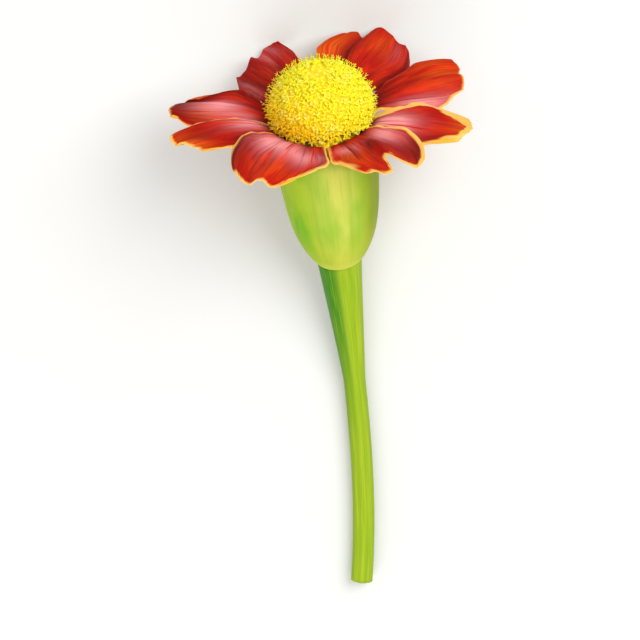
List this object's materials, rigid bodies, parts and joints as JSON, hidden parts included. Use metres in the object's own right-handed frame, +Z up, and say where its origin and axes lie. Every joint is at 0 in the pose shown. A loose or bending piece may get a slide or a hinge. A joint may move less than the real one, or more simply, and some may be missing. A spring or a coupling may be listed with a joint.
{
  "type": "marigold flower",
  "caption": "Single French marigold bloom, picked: notched dark red petals round a dome of yellow florets, in a green cup on a short bare stem.",
  "frame": {"origin": "middle of the flower's footprint, on the surface that it lies on", "axes": "+Z up from the surface, +Y from the stem's cut end towards the head, +X to the right seen from above"},
  "size_m": [0.0474, 0.0905, 0.0379],
  "materials": {
    "floret": "soft yellow florets, orange between them",
    "petal": "velvety dark red with a thin golden margin",
    "cup": "smooth waxy yellow-green",
    "stem": "smooth ribbed green"
  },
  "bodies": {
    "root": {"disc_florets": "floret", "cup": "cup", "ray_petal_1": "petal", "ray_petal_2": "petal", "ray_petal_3": "petal", "ray_petal_4": "petal", "ray_petal_5": "petal", "ray_petal_6": "petal", "ray_petal_7": "petal", "ray_petal_8": "petal", "stem": "stem"}
  },
  "joints": []
}
